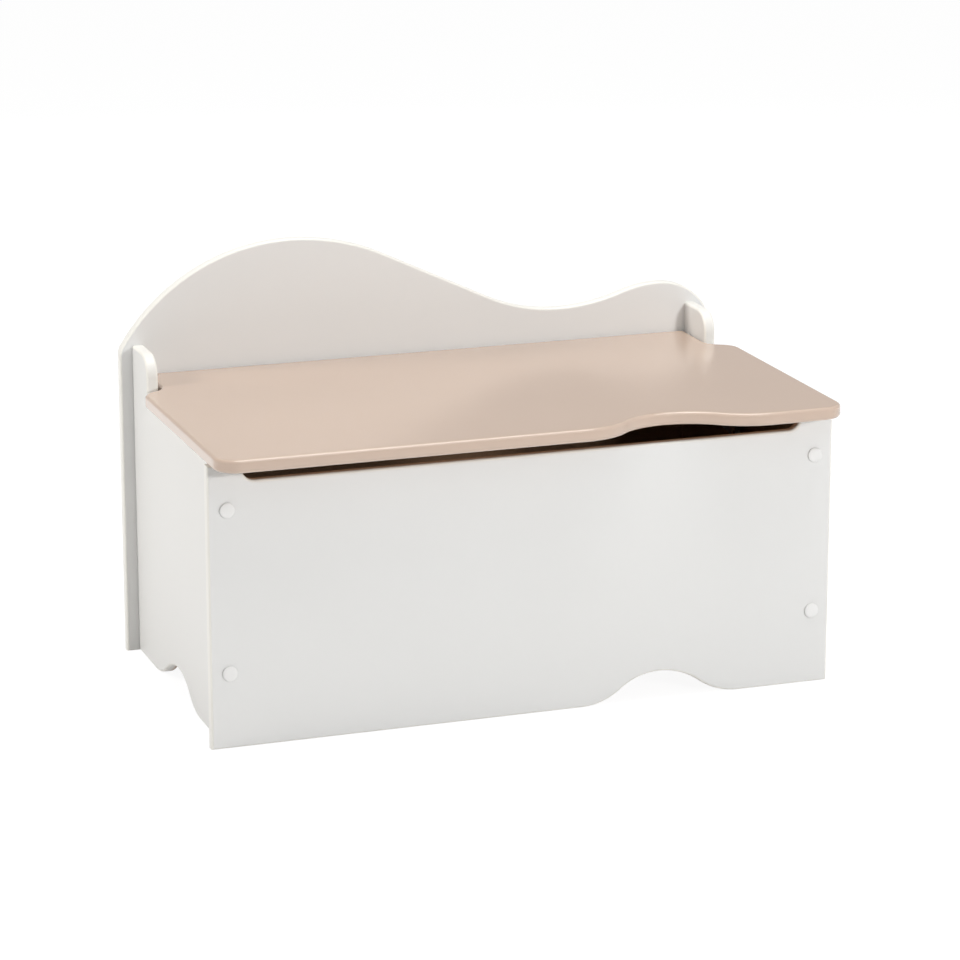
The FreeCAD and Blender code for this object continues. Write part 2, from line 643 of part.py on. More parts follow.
def allScrews():
    upright = Rotation()
    across = "2 * (inner_half - cleat_screw_margin)"
    left, _, right = cleatScrewsAcross
    for name, turn, x, y in (("front", 180, right, "side_front + cleat"),
                             ("rear", 0, left, "side_rear - cleat")):
        nodes.append(screws(f"{name}_cleat_screws", "Y", "cleat_screw_length",
                            Rotation(Vector(0, 0, 1), turn), x, y, cleatMiddle, ("X_Axis", across, 3)))
    bothSides(screws("side_cleat_screws", "X", "cleat_screw_length", Rotation(Vector(0, 0, 1), 180),
                     "-inner_half + cleat", "side_rear - side_screw_margin", cleatMiddle,
                     ("Y_Axis", "side_depth - 2 * side_screw_margin", 2)), "side_cleat_screws")
    nodes.append(screws("base_screws", "Z", "base_screw_length", Rotation(Vector(1, 0, 0), 180),
                        baseScrewsAcross[0], "side_rear - cleat_gap - cleat / 2", "base_top",
                        ("X_Axis", "2 * (inner_half - base_screw_margin)", 2),
                        ("Y_Axis", "side_depth - 2 * cleat_gap - cleat", 2)))
    bothSides(screws("stay_housing_screws", "X", "stay_screw_length", Rotation(Vector(0, 1, 0), 180),
                     "-inner_half + stay_plate", "pivot_y - axle_reach",
                     "pivot_z - axle_drop + flange_screw_reach",
                     ("Z_Axis", "2 * flange_screw_reach", 2)), "stay_housing_screws")
    bothSides(screws("stay_bracket_screws", "Z", "stay_screw_length", upright,
                     "-(inner_half - tab_layer - foot_screw_inset)",
                     "pivot_y - bracket_reach - foot_screw_reach",
                     "pivot_z - lid_board / 2 - stay_plate",
                     ("Y_Axis", "2 * foot_screw_reach", 2)), "stay_bracket_screws")


def hinge():
    """A steel pin, blind in each ear, and the bush that turns on it in the lid's end."""
    tip = "lid_side_gap + pin_in_lid"
    pin, _ = turned("hinge_pin", "X", [
        ("-pin_in_ear", "0"),
        ("-pin_in_ear", "pin_radius - pin_chamfer"),
        ("-pin_in_ear + pin_chamfer", "pin_radius"),
        (f"{tip} - pin_chamfer", "pin_radius"),
        (tip, "pin_radius - pin_chamfer"),
        (tip, "0"),
    ])
    place(pin, "-inner_half", "pivot_y", "pivot_z")
    bothSides(pin, "hinge_pin")
    bore = "pin_radius + pin_running_gap"
    bush, _ = turned("hinge_bush", "X", [
        ("-bush_flange", bore),
        ("-bush_flange", "bush_flange_radius"),
        ("0", "bush_flange_radius"),
        ("0", "bush_radius"),
        ("bush_length", "bush_radius"),
        ("bush_length", bore),
    ])
    place(bush, "-neck_half", "pivot_y", "pivot_z")
    bothSides(bush, "hinge_bush")


def slotPlate(label, start, end, halfWidth):
    """A stadium-shaped plate along Y from start to end, one stay plate thick."""
    body = newBody(label)
    sketch = newSketch(body, "YZ_Plane")
    outline(sketch, [
        (start, f"-{halfWidth}"),
        (end, f"-{halfWidth}", halfWidth, "left"),
        (f"{end} + {halfWidth}", "0", halfWidth, "left"),
        (end, halfWidth),
        (start, halfWidth, halfWidth, "left"),
        (f"{start} - {halfWidth}", "0", halfWidth, "left"),
    ])
    pad(body, sketch, "stay_plate")
    return body


def aim(body, angle, layer, y, z):
    """Turn a stay piece about X and stand it on its layer, counted inwards from the side board."""
    body.Placement = Placement(Vector(), Rotation(Vector(1, 0, 0), 0))
    bind(body, "Placement.Rotation.Angle", angle)
    place(body, f"-inner_half + {layer}", y, z)


def rivet(name, first, last, headGaps, y, z):
    """A pin along X from the first layer to the last, with a head beyond each end."""
    low = f"{first} - {headGaps}"
    high = f"{last} + {headGaps}"
    pin, _ = turned(name, "X", [
        (f"{low} - rivet_head", "0"),
        (f"{low} - rivet_head", "rivet_head_radius * 0.75"),
        (f"{low} - rivet_head * 0.4", "rivet_head_radius"),
        (low, "rivet_head_radius"),
        (low, "rivet_radius"),
        (high, "rivet_radius"),
        (high, "rivet_head_radius"),
        (f"{high} + rivet_head * 0.4", "rivet_head_radius"),
        (f"{high} + rivet_head", "rivet_head_radius * 0.75"),
        (f"{high} + rivet_head", "0"),
    ])
    place(pin, "-inner_half", y, z)
    bothSides(pin, name)


def stays():
    axle = ("pivot_y - axle_reach", "pivot_z - axle_drop")
    bracketPin = ("pivot_y - bracket_reach", "pivot_z - bracket_drop")
    elbow = ("pivot_y - axle_reach - bracket_reach", "pivot_z - axle_drop - bracket_drop")

    housing = slotPlate("stay_housing", "-flange_screw_reach", "flange_screw_reach", "flange_half_width")
    drum = newSketch(housing, "YZ_Plane")
    circles(drum, [("0", "0")], "drum_radius")
    pad(housing, drum, "drum_depth")
    drill(housing, "YZ_Plane", [("0", "0")], "axle_radius + pin_running_gap",
          "axle_in_drum + stay_gap", "drum_depth")
    drill(housing, "YZ_Plane", [("-flange_screw_reach", "0"), ("flange_screw_reach", "0")], screwHole,
          "stay_plate", "stay_plate")
    aim(housing, "90", "0", *axle)
    bothSides(housing, "stay_housing")

    arm = slotPlate("stay_arm", "-arm_length", "0", "stay_half_width")
    drill(arm, "YZ_Plane", [("0", "0")], "axle_radius + drill_gap", "stay_plate", "stay_plate")
    drill(arm, "YZ_Plane", [("-arm_length", "0")], "rivet_radius + drill_gap", "stay_plate", "stay_plate")
    aim(arm, "atan(bracket_drop / bracket_reach)", "arm_layer", *axle)
    bothSides(arm, "stay_arm")

    link = slotPlate("stay_link", "-link_length", "0", "stay_half_width")
    drill(link, "YZ_Plane", [("0", "0")], "rivet_radius + open_pivot_gap", "stay_plate", "stay_plate")
    drill(link, "YZ_Plane", [("-link_length", "0")], "rivet_radius + pin_running_gap", "stay_plate",
          "stay_plate")
    aim(link, "atan(axle_drop / axle_reach)", "link_layer", *bracketPin)
    bothSides(link, "stay_link")

    stayAxle, _ = turned("stay_axle", "X", [
        ("drum_depth - axle_in_drum", "0"),
        ("drum_depth - axle_in_drum", "axle_radius"),
        ("arm_layer + stay_plate + rivet_head_gap", "axle_radius"),
        ("arm_layer + stay_plate + rivet_head_gap", "axle_radius * 1.5"),
        ("arm_layer + stay_plate + rivet_head_gap + rivet_head", "axle_radius * 1.5"),
        ("arm_layer + stay_plate + rivet_head_gap + rivet_head", "0"),
    ])
    place(stayAxle, "-inner_half", *axle)
    bothSides(stayAxle, "stay_axle")
    rivet("stay_elbow_rivet", "arm_layer", "link_layer + stay_plate", "rivet_head_gap", *elbow)
    rivet("stay_bracket_rivet", "link_layer", "tab_layer + stay_plate", "rivet_head_gap", *bracketPin)

    bracket = newBody("stay_bracket")
    tab = newSketch(bracket, "YZ_Plane")
    top = "bracket_drop - lid_board / 2"
    half = "stay_half_width"
    outline(tab, [
        (f"-{half}", "0", half, "left"),
        ("0", f"-{half}", half, "left"),
        (half, "0"),
        ("foot_half_width", f"{top} - stay_plate"),
        ("foot_half_width", top),
        ("-foot_half_width", top),
        ("-foot_half_width", f"{top} - stay_plate"),
    ])
    pad(bracket, tab, "stay_plate")
    foot = newSketch(bracket, "XY_Plane", top)
    outline(foot, [
        ("0", "-foot_half_width"),
        ("foot_length", "-foot_half_width"),
        ("foot_length", "foot_half_width"),
        ("0", "foot_half_width"),
    ])
    pad(bracket, foot, "stay_plate", True)
    drill(bracket, "YZ_Plane", [("0", "0")], "rivet_radius + drill_gap", "stay_plate", "stay_plate")
    drill(bracket, "XY_Plane", [("foot_screw_inset", f"{sign}foot_screw_reach") for sign in ("", "-")],
          screwHole, "stay_plate", top)
    place(bracket, "-inner_half + tab_layer", *bracketPin)
    bothSides(bracket, "stay_bracket")


def checkAndWrite():
    doc.recompute()
    for item in doc.Objects:
        if {"Invalid", "Error"} & set(item.State):
            raise RuntimeError(f"{item.Label} failed: {item.State}")
    for item in nodes:
        if item.Shape.isNull() or not item.Shape.isValid():
            raise RuntimeError(f"{item.Label} has no sound shape")
    os.makedirs("parts", exist_ok=True)
    for item in nodes:
        item.Shape.exportStep(f"parts/{item.Label}.step")
        print(item.Label, len(item.Shape.Solids), "solid(s)", round(item.Shape.Volume / 1000, 2), "cm3")


fillSheet()
frontBoard()
backBoard()
sideBoard()
lidBoard()
baseAndCleats()
boltsAndCaps()
barrelNuts()
allScrews()
hinge()
stays()
checkAndWrite()
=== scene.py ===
import json
import math

import bpy
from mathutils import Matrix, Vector

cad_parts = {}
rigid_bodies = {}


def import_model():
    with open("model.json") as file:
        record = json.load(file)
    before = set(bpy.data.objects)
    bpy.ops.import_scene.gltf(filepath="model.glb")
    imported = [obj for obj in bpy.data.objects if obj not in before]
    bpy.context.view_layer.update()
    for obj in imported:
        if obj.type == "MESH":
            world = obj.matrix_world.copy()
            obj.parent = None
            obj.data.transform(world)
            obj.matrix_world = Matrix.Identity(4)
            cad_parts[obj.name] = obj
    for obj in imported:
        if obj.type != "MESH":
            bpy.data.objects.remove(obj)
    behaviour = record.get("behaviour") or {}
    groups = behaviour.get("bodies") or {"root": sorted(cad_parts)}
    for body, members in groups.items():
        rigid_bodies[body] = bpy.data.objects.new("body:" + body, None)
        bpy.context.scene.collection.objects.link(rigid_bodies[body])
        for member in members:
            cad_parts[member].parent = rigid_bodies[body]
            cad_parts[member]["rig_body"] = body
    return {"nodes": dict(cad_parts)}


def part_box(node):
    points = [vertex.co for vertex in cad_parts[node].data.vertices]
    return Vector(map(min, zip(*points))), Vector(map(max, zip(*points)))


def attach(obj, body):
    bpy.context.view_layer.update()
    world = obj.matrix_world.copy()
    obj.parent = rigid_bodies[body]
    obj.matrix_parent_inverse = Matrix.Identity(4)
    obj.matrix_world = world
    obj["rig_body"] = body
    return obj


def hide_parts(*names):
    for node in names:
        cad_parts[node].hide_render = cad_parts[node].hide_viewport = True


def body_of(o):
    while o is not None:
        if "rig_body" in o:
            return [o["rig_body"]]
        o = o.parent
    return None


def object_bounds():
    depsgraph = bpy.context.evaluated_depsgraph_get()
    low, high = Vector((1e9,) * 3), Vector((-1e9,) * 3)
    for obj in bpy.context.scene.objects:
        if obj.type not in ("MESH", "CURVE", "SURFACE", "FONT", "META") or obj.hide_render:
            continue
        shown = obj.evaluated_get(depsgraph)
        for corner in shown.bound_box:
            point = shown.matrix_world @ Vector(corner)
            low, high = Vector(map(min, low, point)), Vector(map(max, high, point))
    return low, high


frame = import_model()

scene = bpy.context.scene
cadLow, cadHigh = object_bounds()


class Signal:  # one output of a node, usable in sums
    def __init__(self, finish, socket):
        self.finish = finish
        self.socket = socket

    def maths(self, operation, first, second=0.0):
        return self.finish.node("ShaderNodeMath", {"operation": operation}, {0: first, 1: second})

    def __add__(self, other):
        return self.maths("ADD", self, other)

    def __radd__(self, other):
        return self.maths("ADD", other, self)

    def __sub__(self, other):
        return self.maths("SUBTRACT", self, other)

    def __rsub__(self, other):
        return self.maths("SUBTRACT", other, self)

    def __mul__(self, other):
        return self.maths("MULTIPLY", self, other)

    def __rmul__(self, other):
        return self.maths("MULTIPLY", other, self)

    def __truediv__(self, other):
        return self.maths("DIVIDE", self, other)

    def __pow__(self, other):
        return self.maths("POWER", self, other)


class Finish:  # a material and the nodes that it is made of
    def __init__(self, name):
        self.material = bpy.data.materials.new(name)
        self.material.use_nodes = True
        self.tree = self.material.node_tree
        self.tree.nodes.clear()

    def node(self, kind, settings=None, inputs=None, output=0):
        made = self.tree.nodes.new(kind)
        for name, setting in (settings or {}).items():
            if name == "stops":
                ramp = made.color_ramp
                for place, (at, shade) in enumerate(setting):
                    stop = ramp.elements[place] if place < 2 else ramp.elements.new(at)
                    stop.position = at
                    stop.color = (shade, shade, shade, 1)
            else:
                setattr(made, name, setting)
        for name, value in (inputs or {}).items():
            if isinstance(value, Signal):
                self.tree.links.new(value.socket, made.inputs[name])
            else:
                made.inputs[name].default_value = value
        return Signal(self, made.outputs[output])

    def place(self, scale=(1, 1, 1), shift=(0, 0, 0)):
        coordinates = self.node("ShaderNodeTexCoord", output="Object")
        return self.node("ShaderNodeMapping", None,
                         {"Vector": coordinates, "Scale": scale, "Location": shift})

    def noise(self, at, scale, detail=2.0, roughness=0.5):
        return self.node("ShaderNodeTexNoise", None,
                         {"Vector": at, "Scale": scale, "Detail": detail, "Roughness": roughness})

    def ramp(self, signal, *stops):
        return self.node("ShaderNodeValToRGB", {"stops": stops}, {"Fac": signal})

    def blend(self, mask, first, second):
        colours = {"A": (*first, 1) if isinstance(first, tuple) else first,
                   "B": (*second, 1) if isinstance(second, tuple) else second}
        made = self.tree.nodes.new("ShaderNodeMix")
        made.data_type = "RGBA"
        sockets = {s.name: s for s in made.inputs if s.type == "RGBA"}
        for name, value in colours.items():
            if isinstance(value, Signal):
                self.tree.links.new(value.socket, sockets[name])
            else:
                sockets[name].default_value = value
        factor = made.inputs[0]
        if isinstance(mask, Signal):
            self.tree.links.new(mask.socket, factor)
        else:
            factor.default_value = mask
        return Signal(self, [s for s in made.outputs if s.type == "RGBA"][0])

    # mask for the painted highlight on rounded edges, weaker on edge faces; it also lowers the roughness there
    def edges(self, axis):  # 1 on a board's rounded edges, less on its edge faces, 0 on its flats
        towards = self.node("ShaderNodeTexCoord", output="Normal")
        along = self.node("ShaderNodeSeparateXYZ", None, {0: towards}, output="XYZ".index(axis))
        return self.ramp(along.maths("ABSOLUTE", along), (0.0, 0.6), (0.35, 1), (0.9, 1), (0.998, 0))

    def bump(self, height, depth, strength=1.0):
        return self.node("ShaderNodeBump", None,
                         {"Height": height, "Distance": depth, "Strength": strength})

    def surface(self, **inputs):
        names = {"colour": "Base Color", "roughness": "Roughness", "metal": "Metallic",
                 "normal": "Normal", "coat": "Coat Weight", "coatRoughness": "Coat Roughness",
                 "ior": "IOR", "specular": "Specular IOR Level"}
        values = {names[k]: (*v, 1) if isinstance(v, tuple) else v for k, v in inputs.items()}
        shader = self.node("ShaderNodeBsdfPrincipled", None, values)
        self.node2output(shader)
        return self.material

    def node2output(self, shader):
        output = self.tree.nodes.new("ShaderNodeOutputMaterial")
        self.tree.links.new(shader.socket, output.inputs["Surface"])


# pressed fibreboard, left bare on the base board and on the inner faces below the rim
fibreboard = {
    "colour": (0.520, 0.320, 0.200), "deeper": (0.400, 0.230, 0.140), "roughness": 0.60,
    "paintEdge": 0.346, "overspray": 0.009, "lipFrom": 0.0139, "lipShadeFade": 0.007,
}


def bareBoard(finish):
    size = fibreboard
    fibres = finish.noise(finish.place(scale=(1, 0.35, 1)), 420.0, 4.0, 0.65)
    clouds = finish.noise(finish.place(), 7.0, 3.0)
    mask = finish.ramp(fibres * 0.55 + clouds * 0.45, (0.35, 0), (0.68, 1))
    return finish.blend(mask, size["colour"], size["deeper"]), fibres


def makeFibreboard():
    size = fibreboard
    finish = Finish("fibreboard")
    shade, fibres = bareBoard(finish)
    return finish.surface(colour=shade, roughness=size["roughness"] + 0.12 * fibres,
                          normal=finish.bump(fibres, 0.00006, 0.5))


# what lies within the walls and below the rim, fading over the overspray; at the front it fades across the
# finger gap's floor, partly as painted shade of the lid's overhang
frontLow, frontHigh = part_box("front_panel")
backLow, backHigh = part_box("back_panel")
wallLow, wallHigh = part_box("side_panel_right")
wellEdges = {"x": wallLow.x, "front": frontHigh.y, "rear": backLow.y}


def withinWell(finish):
    soft = fibreboard["overspray"]
    at = finish.node("ShaderNodeTexCoord", output="Object")
    x, y, z = (finish.node("ShaderNodeSeparateXYZ", None, {0: at}, output=n) for n in range(3))
    spray = 0.002 * finish.noise(at, 35.0, 3.0)

    def fade(distance, over=soft):
        return finish.node("ShaderNodeMapRange", {"interpolation_type": "SMOOTHSTEP"},
                           {"Value": distance, "From Min": 0.0, "From Max": over})

    inX = fade(wellEdges["x"] + soft + 0.0004 - x.maths("ABSOLUTE", x))
    # painted shade: bare-board brown carried forward over the finger gap's floor, fading out towards its front
    # edge, for the lid overhang's shade as well as bare board
    inFront = fade(y - (wellEdges["front"] - fibreboard["lipFrom"]), fibreboard["lipShadeFade"])
    inRear = fade((wellEdges["rear"] + soft + 0.0004) - y)
    below = fade(fibreboard["paintEdge"] + spray - z)
    return inX * inFront * inRear * below


# sprayed satin paint on the white boards; their rounded edges get a painted highlight in a lighter warm cream
whitePaint = {
    "colour": (0.795, 0.794, 0.784), "deeper": (0.775, 0.772, 0.758), "edge": (0.900, 0.880, 0.820),
    "roughness": 0.38, "peelSize": 380.0, "peelDepth": 0.00003,
}


def makeWhitePaint(name, axis):
    size = whitePaint
    finish = Finish(name)
    at = finish.place()
    shade = finish.blend(finish.noise(at, 3.2, 3.0), size["colour"], size["deeper"])
    edge = finish.edges(axis)
    # painted highlight: the rounded edges blend towards the lighter edge colour
    shade = finish.blend(edge * 0.75, shade, size["edge"])
    peel = finish.noise(at, size["peelSize"], 2.0)
    sheen = size["roughness"] + 0.06 * finish.noise(at, 9.0, 3.0) - 0.05 * edge
    bare = withinWell(finish)
    bareShade, fibres = bareBoard(finish)
    return finish.surface(colour=finish.blend(bare, shade, bareShade),
                          roughness=sheen + bare * (fibreboard["roughness"] - size["roughness"]),
                          normal=finish.bump(peel, size["peelDepth"], 0.5))


# satin taupe lacquer on the lid; its rounded edges get a painted highlight in a lighter tone
lidPaint = {
    "colour": (0.575, 0.430, 0.335), "deeper": (0.540, 0.400, 0.308), "edge": (0.620, 0.490, 0.410),
    "roughness": 0.20, "peelSize": 420.0, "peelDepth": 0.00002,
}


def makeLidPaint():
    size = lidPaint
    finish = Finish("lidPaint")
    at = finish.place()
    shade = finish.blend(finish.noise(at, 2.6, 3.0), size["colour"], size["deeper"])
    edge = finish.edges("Z")
    # painted highlight: the rounded edges blend towards the lighter edge colour
    shade = finish.blend(edge * 0.5, shade, size["edge"])
    peel = finish.noise(at, size["peelSize"], 2.0)
    sheen = size["roughness"] + 0.06 * finish.noise(at, 8.0, 3.0) - 0.05 * edge
    return finish.surface(colour=shade, roughness=sheen, coat=0.8, coatRoughness=0.20,
                          normal=finish.bump(peel, size["peelDepth"], 0.5))


# moulded plastic of the bolt caps
capPlastic = {"colour": (0.86, 0.855, 0.845), "deeper": (0.83, 0.825, 0.81), "roughness": 0.30}


def makeCapPlastic():
    size = capPlastic
    finish = Finish("capPlastic")
    at = finish.place()
    shade = finish.blend(finish.noise(at, 60.0), size["colour"], size["deeper"])
    return finish.surface(colour=shade, roughness=size["roughness"] + 0.08 * finish.noise(at, 220.0),
                          normal=finish.bump(finish.noise(at, 900.0), 0.00001, 0.4))


def makeMetal(name, colour, deeper, roughness, grain=300.0):
    finish = Finish(name)
    at = finish.place()
    streaks = finish.noise(finish.place(scale=(1, 1, 0.12)), grain, 3.0)
    shade = finish.blend(finish.noise(at, 45.0, 3.0), colour, deeper)
    return finish.surface(colour=shade, metal=1.0, roughness=roughness + 0.12 * streaks,
                          normal=finish.bump(streaks, 0.00001, 0.3))


paintByAxis = {axis: makeWhitePaint("whitePaint" + axis, axis) for axis in "XYZ"}
lidFinish = makeLidPaint()
capFinish = makeCapPlastic()
baseFinish = makeFibreboard()
zincFinish = makeMetal("zincPlate", (0.62, 0.63, 0.64), (0.52, 0.53, 0.55), 0.28)
pinFinish = makeMetal("brightSteel", (0.60, 0.59, 0.58), (0.50, 0.49, 0.48), 0.20)
stayFinish = makeMetal("satinNickel", (0.56, 0.54, 0.51), (0.48, 0.46, 0.44), 0.32)


def makeNylon():
    finish = Finish("nylon")
    at = finish.place()
    shade = finish.blend(finish.noise(at, 80.0), (0.70, 0.69, 0.66), (0.64, 0.63, 0.60))
    return finish.surface(colour=shade, roughness=0.42 + 0.08 * finish.noise(at, 300.0),
                          normal=finish.bump(finish.noise(at, 700.0), 0.00001, 0.4))


def makeBeech():
    finish = Finish("beech")
    at = finish.place(scale=(1, 0.1, 1))
    shade = finish.blend(finish.noise(at, 260.0, 4.0), (0.58, 0.40, 0.25), (0.45, 0.29, 0.17))
    return finish.surface(colour=shade, roughness=0.6 + 0.1 * finish.noise(at, 300.0),
                          normal=finish.bump(finish.noise(at, 500.0), 0.00002, 0.5))


finishBySlot = {
    "white_paint": paintByAxis["Z"], "fibreboard": baseFinish, "lid_paint": lidFinish, "cap_plastic": capFinish,
    "zinc_steel": zincFinish, "pin_steel": pinFinish, "nylon": makeNylon(),
    "stay_steel": stayFinish, "beech": makeBeech(),
}
for name, node in frame["nodes"].items():
    slotName = node.data.materials[0].name
    node.data.materials[0] = finishBySlot[slotName.split(".")[0]]
print("finishes made")


def onlySelect(piece):
    bpy.ops.object.select_all(action="DESELECT")
    piece.select_set(True)
    bpy.context.view_layer.objects.active = piece


# painted boards: the shape is the frame's own, with its corners welded and its roundings smoothed
boards = {
    "front_panel": "Y", "back_panel": "Y", "side_panel_left": "X", "side_panel_right": "X",
    "bottom_panel": "Z", "front_cleat": "X", "rear_cleat": "X",
    "side_cleat_left": "Y", "side_cleat_right": "Y", "lid": "Z",
}


def smoothBoard(nodeName, axis):
    node = frame["nodes"][nodeName]
    piece = bpy.data.objects.new(nodeName + "_painted", node.data.copy())
    scene.collection.objects.link(piece)
    onlySelect(piece)
    bpy.ops.object.mode_set(mode="EDIT")
    bpy.ops.mesh.select_all(action="SELECT")
    bpy.ops.mesh.remove_doubles(threshold=0.00001)
    bpy.ops.mesh.customdata_custom_splitnormals_clear()
    bpy.ops.object.mode_set(mode="OBJECT")
    bpy.ops.object.shade_smooth_by_angle(angle=math.radians(32))
    weighted = piece.modifiers.new("evenFaces", "WEIGHTED_NORMAL")
    weighted.keep_sharp = True
    weighted.weight = 100
    bpy.ops.object.modifier_apply(modifier=weighted.name)
    finish = {"lid": lidFinish, "bottom_panel": baseFinish}.get(nodeName, paintByAxis[axis])
    piece.data.materials[0] = finish
    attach(piece, "lid" if nodeName == "lid" else "root")
    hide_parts(nodeName)
    return piece


for nodeName, axis in boards.items():
    smoothBoard(nodeName, axis)
print("boards painted")

def loosePieces(nodeName):  # the separate solids of a node, each with its lowest and highest corner
    node = frame["nodes"][nodeName]
    whole = bpy.data.objects.new("whole", node.data.copy())
    scene.collection.objects.link(whole)
    onlySelect(whole)
    bpy.ops.object.mode_set(mode="EDIT")
    bpy.ops.mesh.select_all(action="SELECT")
    bpy.ops.mesh.remove_doubles(threshold=0.00001)
    bpy.ops.mesh.separate(type="LOOSE")
    bpy.ops.object.mode_set(mode="OBJECT")
    parts = []
    for piece in list(bpy.context.selected_objects):
        points = [Vector(v.co) for v in piece.data.vertices]
        low = Vector([min(p[n] for p in points) for n in range(3)])
        high = Vector([max(p[n] for p in points) for n in range(3)])
        parts.append((low, high, points))
        bpy.data.objects.remove(piece)
    return sorted(parts, key=lambda part: tuple(part[0]))


def ringStack(name, rings, sides):  # a round piece, drawn up ring by ring from (radius, height)
    bpy.ops.object.select_all(action="DESELECT")
    radius, height = rings[0]
    bpy.ops.mesh.primitive_circle_add(vertices=sides, radius=radius, fill_type="NOTHING")
    piece = bpy.context.active_object
    piece.name = name
    bpy.ops.object.mode_set(mode="EDIT")
    bpy.ops.mesh.select_all(action="SELECT")
    bpy.ops.transform.translate(value=(0, 0, height))
    for newRadius, newHeight in rings[1:]:
        bpy.ops.mesh.extrude_region_move(
            TRANSFORM_OT_translate={"value": (0, 0, newHeight - height)})
        share = newRadius / radius
        bpy.ops.transform.resize(value=(share, share, 1))
        radius, height = newRadius, newHeight
    bpy.ops.mesh.select_all(action="SELECT")
    bpy.ops.mesh.fill_holes(sides=0)
    bpy.ops.mesh.select_all(action="SELECT")
    bpy.ops.mesh.normals_make_consistent(inside=False)
    bpy.ops.object.mode_set(mode="OBJECT")
    bpy.ops.object.shade_smooth_by_angle(angle=math.radians(35))
    return piece


def spread(master, places, name, finish, nodeName):
    copies = []
    for spot, towards in places:
        copy = bpy.data.objects.new(name, master.data.copy())
        scene.collection.objects.link(copy)
        turn = Vector((0, 0, 1)).rotation_difference(towards).to_matrix().to_4x4()
        turn.translation = spot
        copy.data.transform(turn)
        copies.append(copy)
    bpy.ops.object.select_all(action="DESELECT")
    for copy in copies:
        copy.select_set(True)
    bpy.context.view_layer.objects.active = copies[0]
    if len(copies) > 1:
        bpy.ops.object.join()
    piece = bpy.context.active_object
    piece.name = name
    piece.data.materials.clear()
    piece.data.materials.append(finish)
    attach(piece, body_of(frame["nodes"][nodeName])[0])
    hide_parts(nodeName)
    return piece


# push-in caps over the bolt heads: a stem, a short neck and a low dome that stands proud of it
boltCap = {
    "stem": 0.00195, "stemDepth": 0.0024, "neck": 0.0080, "neckHeight": 0.0010,
    "rise": 0.0034, "sides": 64, "rings": 9,
}


def makeBoltCaps():
    size = boltCap
    parts = loosePieces("front_bolt_caps")
    low, high, _ = parts[0]
    radius = (high.x - low.x) / 2
    rim = size["neckHeight"] + 0.0003
    rings = [(size["stem"] * 0.8, -size["stemDepth"]), (size["stem"], -size["stemDepth"] + 0.0004),
             (size["stem"], 0.0), (size["neck"], 0.0), (size["neck"], size["neckHeight"]),
             (radius - 0.0003, size["neckHeight"]), (radius, rim)]
    for n in range(1, size["rings"]):
        angle = math.radians(90 * n / size["rings"])
        rings.append((radius * math.cos(angle) ** 0.9,
                      rim + (size["rise"] - rim) * math.sin(angle) ** 0.85))
    master = ringStack("boltCap", rings, size["sides"])
    for nodeName, towards in (("front_bolt_caps", Vector((0, -1, 0))),
                              ("rear_bolt_caps", Vector((0, 1, 0)))):
        places = []
        for low, high, _ in loosePieces(nodeName):
            middleOfCap = (low + high) / 2
            face = low.y + size["rise"] if towards.y < 0 else high.y - size["rise"]
            places.append((Vector((middleOfCap.x, face, middleOfCap.z)), towards))
        spread(master, places, nodeName + "_domed", capFinish, nodeName)
    bpy.data.objects.remove(master)


makeBoltCaps()
print("bolt caps made")

# pan head screws with a cross recess
screw = {
    "shank": 0.00175, "point": 0.003, "recessWidth": 0.0008, "recessReach": 0.0021,
    "recessDepth": 0.0013, "sides": 40,
}
screwNodes = (
    "front_cleat_screws", "rear_cleat_screws", "side_cleat_screws_left",
    "side_cleat_screws_right", "base_screws", "stay_housing_screws_left",
    "stay_housing_screws_right", "stay_bracket_screws_left", "stay_bracket_screws_right",
)


def makeScrew(length, headRadius, headHeight):
    size = screw
    rings = [(0.0003, -length), (size["shank"] * 0.8, -length + size["point"] * 0.8),
             (size["shank"], -length + size["point"]), (size["shank"], -0.0004),
             (size["shank"] + 0.0002, 0.0), (headRadius - 0.0001, 0.0)]
    for n in range(1, 8):
        angle = math.radians(90 * n / 8)
        rings.append((headRadius * math.cos(angle) ** 0.6, headHeight * math.sin(angle) ** 0.9))
    piece = ringStack("screw", rings, size["sides"])
    cutters = []
    for turn in (0, 90):
        bpy.ops.object.select_all(action="DESELECT")
        bpy.ops.mesh.primitive_cube_add(size=1, location=(0, 0, headHeight))
        cutter = bpy.context.active_object
        cutter.dimensions = (size["recessReach"] * 2, size["recessWidth"], size["recessDepth"] * 2)
        cutter.rotation_euler.z = math.radians(turn)
        bpy.ops.object.transform_apply(location=True, rotation=True, scale=True)
        bpy.ops.object.mode_set(mode="EDIT")
        bpy.ops.mesh.select_all(action="DESELECT")
        bpy.ops.object.mode_set(mode="OBJECT")
        for face in cutter.data.polygons:
            face.select = face.normal.z < -0.9
        bpy.ops.object.mode_set(mode="EDIT")
        bpy.ops.mesh.select_mode(type="FACE")
        bpy.ops.transform.resize(value=(0.45, 0.45, 1))  # the recess narrows towards its floor
        bpy.ops.object.mode_set(mode="OBJECT")
        cutters.append(cutter)
    for cutter in cutters:
        onlySelect(piece)
        cut = piece.modifiers.new("recess", "BOOLEAN")
        cut.operation = "DIFFERENCE"
        cut.object = cutter
        cut.solver = "EXACT"
        bpy.ops.object.modifier_apply(modifier=cut.name)
        bpy.data.objects.remove(cutter)
    onlySelect(piece)
    bpy.ops.object.shade_smooth_by_angle(angle=math.radians(35))
    return piece


def headEnd(low, high, points):  # the screw's long axis, pointing out of its head
    axis = max(range(3), key=lambda n: high[n] - low[n])
    sides = [n for n in range(3) if n != axis]
    middleOfScrew = (low + high) / 2

    def reach(level):
        return max(math.hypot(*(p[n] - middleOfScrew[n] for n in sides))
                   for p in points if abs(p[axis] - level) < 0.0012)

    sign = 1 if reach(high[axis]) > reach(low[axis]) else -1
    towards = Vector([sign if n == axis else 0 for n in range(3)])
    return axis, towards


